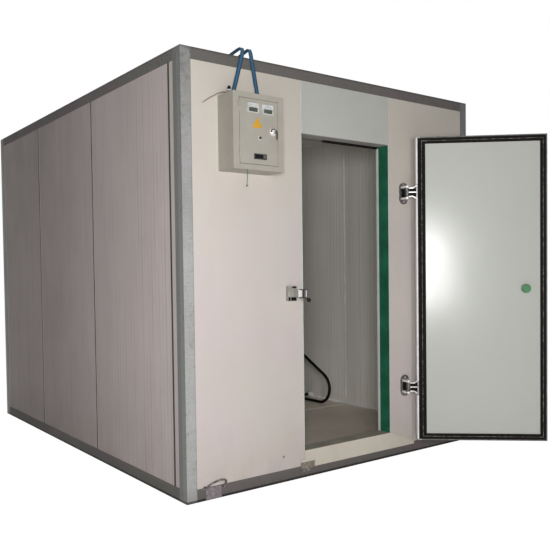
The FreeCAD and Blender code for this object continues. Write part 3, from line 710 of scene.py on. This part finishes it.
def coving():
    """Sealant fillets along the inside edges of the floor, the ceiling and the upright corners."""
    piece = Piece("inside_coving", "sealant", slot="wall_sheet")
    size = 15.0
    low = FLOOR_T
    high = CEILING
    x0, x1 = WALL_T, ROOM_W - WALL_T
    y0, y1 = WALL_T, ROOM_D - WALL_T

    def hollow(a, b):
        """Quarter hollow between two directions at a corner."""
        points = [(0.0, 0.0), (size * a, 0.0)]
        for k in range(1, 4):
            t = math.pi / 2 * k / 4
            points.append((size * a * (1 - math.sin(t)), size * b * (1 - math.cos(t))))
        return points + [(0.0, size * b)]

    for x, a in ((x0, 1), (x1, -1)):
        for z, b in ((low, 1), (high, -1)):
            piece.bar([(x + p, y0, z + q) for p, q in hollow(a, b)], (0, y1 - y0, 0))
        for y, b in ((y0, 1), (y1, -1)):
            piece.bar([(x + p, y + q, low) for p, q in hollow(a, b)], (0, 0, high - low))
    for z, b in ((low, 1), (high, -1)):
        piece.bar([(x0, y1 + p, z + q) for p, q in hollow(-1, b)], (x1 - x0, 0, 0))
    for start, end in ((x0, DOORWAY_X[0] - 14), (DOORWAY_X[1] + 14, x1)):
        piece.bar([(start, y0 + p, low + q) for p, q in hollow(1, 1)], (end - start, 0, 0))
    piece.bar([(x0, y0 + p, high + q) for p, q in hollow(1, -1)], (x1 - x0, 0, 0))
    piece.done()


def gasket_lips():
    """Two soft lips along the door's gasket with a narrow pale strip between them."""
    lips = Piece("gasket_lips", "rubber", "door", "black_rubber", shut_door=True)
    strip = Piece("gasket_strip", "lip", "door", "black_rubber", shut_door=True)
    face = LEAF_INNER + GASKET_T
    for piece, centre, half, rise in ((lips, 9.0, 6.5, 3.0), (lips, 27.0, 6.5, 3.0), (strip, 18.0, 1.8, 0.8)):
        near = RIM_W + centre - half
        far = RIM_W + centre + half
        steps = [(near, 0.0), (near + half * 0.4, rise * 0.8), (near + half, rise),
                 (far - half * 0.4, rise * 0.8), (far, 0.0)]
        rings = []
        for inset, up in steps:
            x0, x1 = LEAF_X[0] + inset, LEAF_X[1] - inset
            z0, z1 = LEAF_Z[0] + inset, LEAF_Z[1] - inset
            rings.append([(x0, face + up, z0), (x1, face + up, z0), (x1, face + up, z1), (x0, face + up, z1)])
        start = len(piece.verts)
        for ring in rings:
            piece.verts += ring
        count = len(rings)
        for r in range(count):
            for k in range(4):
                a = start + r * 4 + k
                b = start + r * 4 + (k + 1) % 4
                c = start + ((r + 1) % count) * 4 + (k + 1) % 4
                d = start + ((r + 1) % count) * 4 + k
                piece.faces.append((a, b, c, d))
    lips.done()
    strip.done()


def leaf_edge_painted_light():
    """A white strip of painted highlight down the leaf's hinge side, clear of its straps, and dark bands of
    painted shade beside the gasket.
    """
    piece = Piece("leaf_edge_painted_light", "white_edge", "door", "door_sheet", shut_door=True)
    x = LEAF_X[1]
    clear = 48
    stops = [LEAF_Z[0] + 3] + [z + side for z in HINGE_Z for side in (-clear, clear)] + [LEAF_Z[1] - 3]
    for low, high in zip(stops[::2], stops[1::2]):
        piece.bar([(x, LEAF_OUTER + 4, low), (x + 9, LEAF_OUTER + 7, low), (x + 9, LEAF_INNER - 3, low),
                   (x, LEAF_INNER - 1, low)], (0, 0, high - low))
    piece.done()
    band = Piece("gasket_shade_band", "rubber", "door", "black_rubber", shut_door=True)
    edge = RIM_W + GASKET_W
    for near, far, y in ((0.5, RIM_W, LEAF_INNER + RIM_T), (edge, edge + 6, LEAF_INNER)):
        band.slab(x - far, x - near, y, LEAF_Z[0] + 3, LEAF_Z[1] - 3, 0.6)
    band.done()


def meter_dials():
    """Scale ticks, pointers and dark lower windows on the two meters."""
    marks = Piece("meter_marks", "black", COVER, "black_plastic")
    windows = Piece("meter_windows", "meter_window", COVER, "black_plastic")
    face = BOX_FACE - 6
    for x0, swing in ((BOX_X[0] + 88, -0.45), (BOX_X[0] + 184, -0.2)):
        low = BOX_Z[1] - 102
        cx, cz = x0 + 36, low + 14
        for k in range(11):
            a = math.radians(-50 + 10 * k)
            inner = 27.5 if k % 5 else 25.5
            p = (cx + inner * math.sin(a), cz + inner * math.cos(a))
            q = (cx + 30 * math.sin(a), cz + 30 * math.cos(a))
            w = (0.6 * math.cos(a), -0.6 * math.sin(a))
            marks.bar([(p[0] - w[0], face, p[1] - w[1]), (p[0] + w[0], face, p[1] + w[1]),
                       (q[0] + w[0], face, q[1] + w[1]), (q[0] - w[0], face, q[1] - w[1])], (0, -0.3, 0))
        tip = (cx + 27 * math.sin(swing), cz + 27 * math.cos(swing))
        y = face - 0.3
        marks.bar([(cx - 0.8, y, cz + 9), (cx + 0.8, y, cz + 9), (tip[0], y, tip[1])], (0, -0.4, 0))
        windows.slab(x0 + 8.5, x0 + 63.5, face - 2, low + 3.5, low + 25, -0.4)
    marks.done()
    windows.done()


def display_and_button():
    """Glass and side keys of the display, a white washer round the push button and its domed cap."""
    z = BOX_Z[0] + 57
    x = BOX_X[0] + 130
    face = BOX_FACE - 4
    glass = Piece("display_glass", "glass", COVER, "black_plastic")
    glass.slab(x + 5, x + 56, face, z + 6, z + 25, -0.5)
    glass.done(0.2)
    keys = Piece("display_keys", "steel", COVER, "black_plastic")
    for k in range(2):
        for row in range(2):
            at = (x + 63 + 9 * k, face, z + 10 + 10 * row)
            keys.lathe(at, (0, -1, 0), [(3.2, 0), (3.2, 1.0), (2.2, 1.6)], 12)
    keys.done()
    washer = Piece("button_washer", "white_plastic", COVER, "grey_paint")
    at = (BOX_X[0] + 168, BOX_FACE, BOX_Z[0] + 172)
    washer.lathe(at, (0, -1, 0), [(11, 0), (11, 1.0), (9.8, 1.8), (7.2, 1.8), (7.2, 0)], 28)
    washer.done()


def lock_details():
    """White washer under the key lock and dark crescents of painted shade on its ring and barrel."""
    at = (BOX_X[0] + 255, BOX_FACE, BOX_Z[0] + 212)
    washer = Piece("lock_washer", "white_plastic", COVER, "grey_paint")
    washer.lathe(at, (0, -1, 0), [(21, 0), (21, 1.0), (19.8, 1.6), (18.2, 1.6), (18.2, 0)], 28)
    washer.done()
    edges = Piece("lock_shade_crescents", "rubber", COVER, "chrome")
    x, y, z = at
    for first, last, inner, outer, out in ((30, 190, 12.8, 18.0, 7), (-70, 110, 9.0, 13.0, 14)):
        count = (last - first) // 10
        turns = [math.radians(first + (last - first) * k / count) for k in range(count + 1)]
        arc = [(x + outer * math.cos(a), y - out, z + outer * math.sin(a)) for a in turns]
        arc += [(x + inner * math.cos(a), y - out, z + inner * math.sin(a)) for a in reversed(turns)]
        edges.bar(arc, (0, -0.3, 0))
    edges.done()


def yellow_sticker():
    """A plain three-cornered sticker with rounded corners."""
    piece = Piece("plain_sticker", "sticker", COVER, "grey_paint")
    corners = [(344.0, 1989.0), (412.0, 1991.0), (378.0, 2047.0)]
    cut = 0.07
    middle = (sum(c[0] for c in corners) / 3, sum(c[1] for c in corners) / 3)
    outline = []
    for i, corner in enumerate(corners):
        for other in (corners[i - 1], corners[(i + 1) % 3]):
            outline.append(tuple(a + (b - a) * cut for a, b in zip(corner, other)))
    outline.sort(key=lambda p: math.atan2(p[1] - middle[1], p[0] - middle[0]))
    piece.bar([(x, BOX_FACE, z) for x, z in outline], (0, -0.4, 0))
    piece.done()


def box_seam():
    """A strip of painted shade in the gap round the control box's door, on the flange's inner edge."""
    piece = Piece("box_door_gap_shade", "box_shade", "room", "grey_paint")
    side, end = 36.0, 26.0
    x0, x1 = BOX_X[0] + side, BOX_X[1] - side
    z0, z1 = BOX_Z[0] + end, BOX_Z[1] - end
    y = BOX_FACE + 0.4
    t = 3.4
    for a, b, low, high in ((x0, x1, z0, z0 + t), (x0, x1, z1 - t, z1), (x0, x0 + t, z0, z1),
                            (x1 - t, x1, z0, z1)):
        piece.slab(a, b, y, low, high, 2.6)
    piece.done()


def hinge_shade():
    """Black plates of painted shade: in the hollow between the bracket arms, and between the straps' ribs."""
    recess_shade = Piece("hinge_recess_shade", "rubber", "room", "chrome")
    rib_gap_shade = Piece("hinge_rib_gap_shade", "rubber", "door", "chrome", shut_door=True)
    for z in HINGE_Z:
        recess_shade.slab(1634, 1676, HINGE_PLATE_Y, z - 30, z + 30, -2.5)
        rib_gap_shade.slab(LEAF_X[1] + 4, 1609, -66, z - 27, z + 27, 4)
    recess_shade.done(1.0)
    rib_gap_shade.done()


def strike_pocket_shade():
    """Black blocks of painted shade in the pockets of the latch strike's block."""
    piece = Piece("strike_pocket_shade", "rubber", "room", "chrome")
    z0, z1 = STRIKE_Z
    for a, b, low, high in ((30, 60, z1 - 12, z1 - 2), (2, 16, z0 + 1, z0 + 22), (21, 60, z0 + 1, z0 + 22)):
        piece.slab(STRIKE_X + a, STRIKE_X + b, -22.4, low, high, 10)
    piece.done()


def screw_heads():
    """Pan heads on the hinge plates."""
    piece = Piece("screw_heads", "chrome", "room", "chrome")
    head = [(4.6, 0), (4.6, 0.8), (3.6, 2.0), (1.6, 2.5)]
    for z in HINGE_Z:
        for dz in (-54, 54):
            piece.lathe((1654, HINGE_PLATE_Y, z + dz), (0, -1, 0), head, 14)
    piece.done()


def gland_ring():
    """White rings of the cable gland on the box's top, and its domed black head."""
    piece = Piece("gland_ring", "white_plastic", "room", "black_plastic")
    at = (BOX_X[0] + 60, -24, BOX_Z[1])
    piece.lathe(at, (0, 0, 1), [(8, 9), (13, 9), (14.5, 11), (14.5, 13), (13, 15), (8, 15)], 24)
    piece.lathe(at, (0, 0, 1), [(8, 28), (13, 28), (14, 30), (14, 34), (12, 36), (8, 36)], 24)
    piece.done()
    head = Piece("gland_head", "rubber", "room", "black_plastic")
    head.lathe(at, (0, 0, 1), [(6, 36), (7.5, 37), (8.8, 41), (9, 47), (8, 52), (5.5, 56), (2, 57.5)], 24)
    head.done()


def sill_tail():
    """The sill cover's slanted right end, drawn out to a point along the rail."""
    piece = Piece("sill_tail", "sill", slot="aluminium")
    x0 = DOORWAY_X[1] + LINING_T
    x1 = x0 + 221
    y = -5.4
    piece.bar([(x0, y, SILL_H), (x1, y, RAIL_TOP + 2), (x1, y, 55), (x0, y, 55)], (0, 3.2, 0))
    piece.done()


def doorway_edges():
    """Pale folds along the doorway's front edges and the lower lip of the head seal."""
    piece = Piece("doorway_edges", "trim", slot="front_sheet")
    low = SILL_H + 2
    left, right = DOORWAY_X
    for x0, x1, high in ((left - 7, left - 2.5, TOP_RAIL_LOW), (right + 2.5, right + 7, 2033.0)):
        piece.bar([(x0, -0.6, low), (x1, -0.6, low), (x1, 0.0, low), (x0, 0.0, low)], (0, 0, high - low))
    piece.done()
    lip = Piece("head_seal_lip", "rubber", slot="black_rubber")
    lip.bar([(1040, 90, 2022), (1040, 91, 2016.5), (1040, 99, 2016.5), (1040, 99.5, 2022)], (464, 0, 0))
    lip.done()


def string_knot():
    """Small knot at the loose end of the string."""
    knot = Piece("string_knot", "teal", slot="teal_cord")
    at = (BOX_X[0] + 84, BOX_FACE + 4, BOX_Z[0] - 86)
    knot.lathe(at, (0, 0, 1), [(1.5, -5), (4, -3.5), (5, 0), (4, 3.5), (1.5, 5)], 16)
    knot.done()


def webbing(name, node, foot, peak, tail):
    """A woven strap along the CAD strap's own line, with thicker edges."""
    rise = ROOM_H + 30 - BOX_Z[1]
    line = []
    for y, z in ((-6, BOX_Z[1]), (-7, (BOX_Z[1] + ROOM_H) / 2), (-7, ROOM_H - 40), (-6, ROOM_H + 30)):
        line.append(Vector((foot + (peak - foot) * (z - BOX_Z[1]) / rise, y, z)))
    line.append(Vector((peak, 6, ROOM_H + 55)))
    for y, z in ((34, 53), (110, 40), (230, 20), (340, 7), (420, 4)):
        line.append(Vector((peak + (tail - peak) * y / 420, y, ROOM_H + z)))
    width = 27
    half = [(0.0, 1.0), (0.08, 1.3), (0.16, 1.0), (0.3, 0.7)]
    section = [*half, (0.5, 0.6), *((1 - u, thick) for u, thick in reversed(half))]
    points = []
    for i in range(len(line) - 1):
        cuts = 4 if i > 2 else 10
        for k in range(cuts):
            points.append(line[i].lerp(line[i + 1], k / cuts))
    points.append(line[-1])
    verts, faces, across, along = [], [], [], []
    run = 0.0
    for i, p in enumerate(points):
        run += (p - points[i - 1]).length if i else 0.0
        way = points[min(i + 1, len(points) - 1)] - points[max(i - 1, 0)]
        normal = Vector((1, 0, 0)).cross(way).normalized()
        for side in (1, -1):
            for u, thick in section[::side]:
                verts.append(place(*(p + Vector(((u - 0.5) * width, 0, 0)) + normal * (thick - 0.2) * side)))
                across.append(u)
                along.append(run / 1000)
    ring = 2 * len(section)
    for i in range(len(points) - 1):
        for k in range(ring):
            a, b = i * ring + k, i * ring + (k + 1) % ring
            faces.append((a, b, b + ring, a + ring))
    faces.append(tuple(range(ring - 1, -1, -1)))
    faces.append(tuple(range((len(points) - 1) * ring, len(points) * ring)))
    mesh = bpy.data.meshes.new(name)
    mesh.from_pydata(verts, [], faces)
    for title, values in (("across", across), ("along", along)):
        mesh.attributes.new(title, "FLOAT", "POINT").data.foreach_set("value", values)
    mesh.materials.append(MATERIALS["strap"])
    mesh.polygons.foreach_set("use_smooth", [True] * len(mesh.polygons))
    put(bpy.data.objects.new(name, mesh), "room", node)


# Cords

def cord_curve(name, points, diameter, material, node):
    """A smooth round cord with the route's points as its control points."""
    curve = bpy.data.curves.new(name, "CURVE")
    curve.dimensions = "3D"
    curve.bevel_depth = diameter / 2
    curve.bevel_resolution = 5
    curve.resolution_u = 16
    curve.use_fill_caps = True
    spline = curve.splines.new("NURBS")
    spline.points.add(len(points) - 1)
    for point, where in zip(spline.points, points):
        point.co = (*place(*where), 1)
    spline.order_u = 3
    spline.use_endpoint_u = True
    curve.materials.append(MATERIALS[material])
    obj = bpy.data.objects.new(name, curve)
    put(obj, "room", node)
    return obj


def cords():
    """The hose loop inside, the sensor wire on the control box and the string under it."""
    wall = ROOM_W - WALL_T
    hose_route = [(wall - out, y, z) for out, y, z in (
        (44, 1850, 638), (108, 1850, 638), (155, 1790, 618), (160, 1655, 553), (157, 1518, 478),
        (160, 1375, 402), (160, 1240, 335), (160, 1200, 253), (160, 1222, 168), (159, 1293, 112.5),
        (156, 1390, 112.5), (159, 1490, 112.5), (157, 1590, 113), (112, 1640, 125), (44, 1640, 125))]
    hose = cord_curve("hose", hose_route, 0.024, "rubber", "drain_hose")
    x, z = BOX_X[0] + 52, BOX_Z[1] + 18
    wire_route = [(x - out, y, z + up) for out, y, up in (
        (0, -24, 0), (22, -24, 2), (42, -25, -3), (62, -26, -12), (84, -25, -24), (108, -21, -38),
        (132, -17, -54), (152, -12, -70))]
    wire = cord_curve("wire", wire_route, 0.0035, "wire", "sensor_wire")
    x, y = BOX_X[0] + 84, BOX_FACE + 4
    string_route = [(x + aside, y + out, BOX_Z[0] - down) for aside, out, down in (
        (4, 0, 0), (4, 0, 22), (2.5, -1, 46), (1, 0, 68), (0, 0, 84))]
    string = cord_curve("string", string_route, 0.0035, "teal", "hanging_string")


# Camera, floor and light

CAMERA_AT = Vector((-2.9733, -4.8595, 1.2236))
CAMERA_YAW = math.radians(37.3)
CAMERA_PITCH = math.radians(-1.8)
CAMERA_ROLL = math.radians(-0.7)
FOCAL_PX = 709.2
CENTRE_PX = (284.5, 293.7)
FRAME_PX = 550.0
SENSOR_MM = 36.0


def add_camera():
    """The photograph's view, from the focal length and picture centre in pixels."""
    ahead = Vector((math.sin(CAMERA_YAW), math.cos(CAMERA_YAW), 0))
    forward = ahead * math.cos(CAMERA_PITCH) + Vector((0, 0, math.sin(CAMERA_PITCH)))
    level = Vector((math.cos(CAMERA_YAW), -math.sin(CAMERA_YAW), 0))
    top = level.cross(forward)
    right = level * math.cos(CAMERA_ROLL) + top * math.sin(CAMERA_ROLL)
    up = top * math.cos(CAMERA_ROLL) - level * math.sin(CAMERA_ROLL)
    data = bpy.data.cameras.new("camera")
    data.sensor_width = SENSOR_MM
    data.lens = FOCAL_PX / FRAME_PX * SENSOR_MM
    data.shift_x = (FRAME_PX / 2 - CENTRE_PX[0]) / FRAME_PX
    data.shift_y = (CENTRE_PX[1] - FRAME_PX / 2) / FRAME_PX
    data.clip_end = 200
    camera = bpy.data.objects.new("camera", data)
    camera.matrix_world = Matrix((
        (right.x, up.x, -forward.x, CAMERA_AT.x),
        (right.y, up.y, -forward.y, CAMERA_AT.y),
        (right.z, up.z, -forward.z, CAMERA_AT.z),
        (0, 0, 0, 1)))
    SCENE.collection.objects.link(camera)
    SCENE.camera = camera


def seen_directly(add, link):
    """1 for rays from the camera and for reflections and see-through, which show the white backdrop."""
    rays = add("ShaderNodeLightPath")
    total = rays.outputs["Is Camera Ray"]
    for title in ("Is Glossy Ray", "Is Transmission Ray"):
        both = add("ShaderNodeMath")
        both.operation = "MAXIMUM"
        link(total, both.inputs[0])
        link(rays.outputs[title], both.inputs[1])
        total = both.outputs[0]
    return total


def add_floor():
    """A pale floor that keeps the room's shadow and looks as white as the backdrop."""
    mesh = bpy.data.meshes.new("ground")
    far = 60.0
    mesh.from_pydata([(-far, -far, 0), (far, -far, 0), (far, far, 0), (-far, far, 0)], [], [(0, 1, 2, 3)])
    ground = bpy.data.objects.new("ground", mesh)
    SCENE.collection.objects.link(ground)
    s = Shader("ground")
    s.set(Roughness=0.9)
    s.link(s.mix(s.noise(0.4), (0.80, 0.80, 0.80), (0.84, 0.84, 0.84)), s.bsdf.inputs["Base Color"])
    light = s.add("ShaderNodeEmission", {"Strength": 1.07})
    both = s.add("ShaderNodeMixShader")
    s.link(s.times(seen_directly(s.add, s.link), 0.92), both.inputs[0])
    s.link(s.bsdf.outputs[0], both.inputs[1])
    s.link(light.outputs[0], both.inputs[2])
    s.link(both.outputs[0], s.out.inputs["Surface"])
    mesh.materials.append(s.mat)


def add_light():
    """A white backdrop, a lamp by the camera, one for the leaf's glare, and two for the back and roof."""
    world = bpy.data.worlds.new("world")
    SCENE.world = world
    world.use_nodes = True
    tree = world.node_tree
    tree.nodes.clear()
    out = tree.nodes.new("ShaderNodeOutputWorld")
    back = tree.nodes.new("ShaderNodeBackground")
    back.inputs["Color"].default_value = (1, 1, 1, 1)
    strength = tree.nodes.new("ShaderNodeMix")
    strength.inputs[2].default_value = 0.08
    strength.inputs[3].default_value = 1.0
    tree.links.new(seen_directly(tree.nodes.new, tree.links.new), strength.inputs[0])
    tree.links.new(strength.outputs[0], back.inputs["Strength"])
    tree.links.new(back.outputs[0], out.inputs["Surface"])
    for name, where, target, size, watts in (
        ("key", (-2.9, -4.97, 1.45), (-0.2, -1.2, 1.2), (0.8, 0.8), 93.0),
        ("side", (-2.2, -5.53, 1.27), (0.3, -1.6, 1.4), (0.3, 0.95), 46.0),
        ("back", (4.2, 6.0, 3.6), (0.4, 0.5, 1.3), (2.0, 2.0), 400.0),
        ("roof", (0.1, 0.2, 6.4), (0.0, 0.1, 2.4), (2.4, 2.4), 110.0),
    ):
        data = bpy.data.lights.new(name, "AREA")
        data.shape = "RECTANGLE"
        data.size, data.size_y = size
        data.energy = watts
        lamp = bpy.data.objects.new(name, data)
        lamp.location = where
        way = Vector(target) - Vector(where)
        lamp.rotation_euler = way.to_track_quat("-Z", "Y").to_euler()
        SCENE.collection.objects.link(lamp)


for make in (dress_nodes, joint_beads, coving, gasket_lips, leaf_edge_painted_light, meter_dials, display_and_button,
             lock_details, yellow_sticker, box_seam, hinge_shade, strike_pocket_shade, screw_heads, gland_ring,
             sill_tail, doorway_edges, string_knot):
    make()
webbing("webbing_left", "strap_left", 313.0, 387.0, 370.0)
webbing("webbing_right", "strap_right", 488.0, 439.0, 452.0)
cords()
add_camera()
add_floor()
add_light()
SCENE.view_settings.view_transform = "Standard"
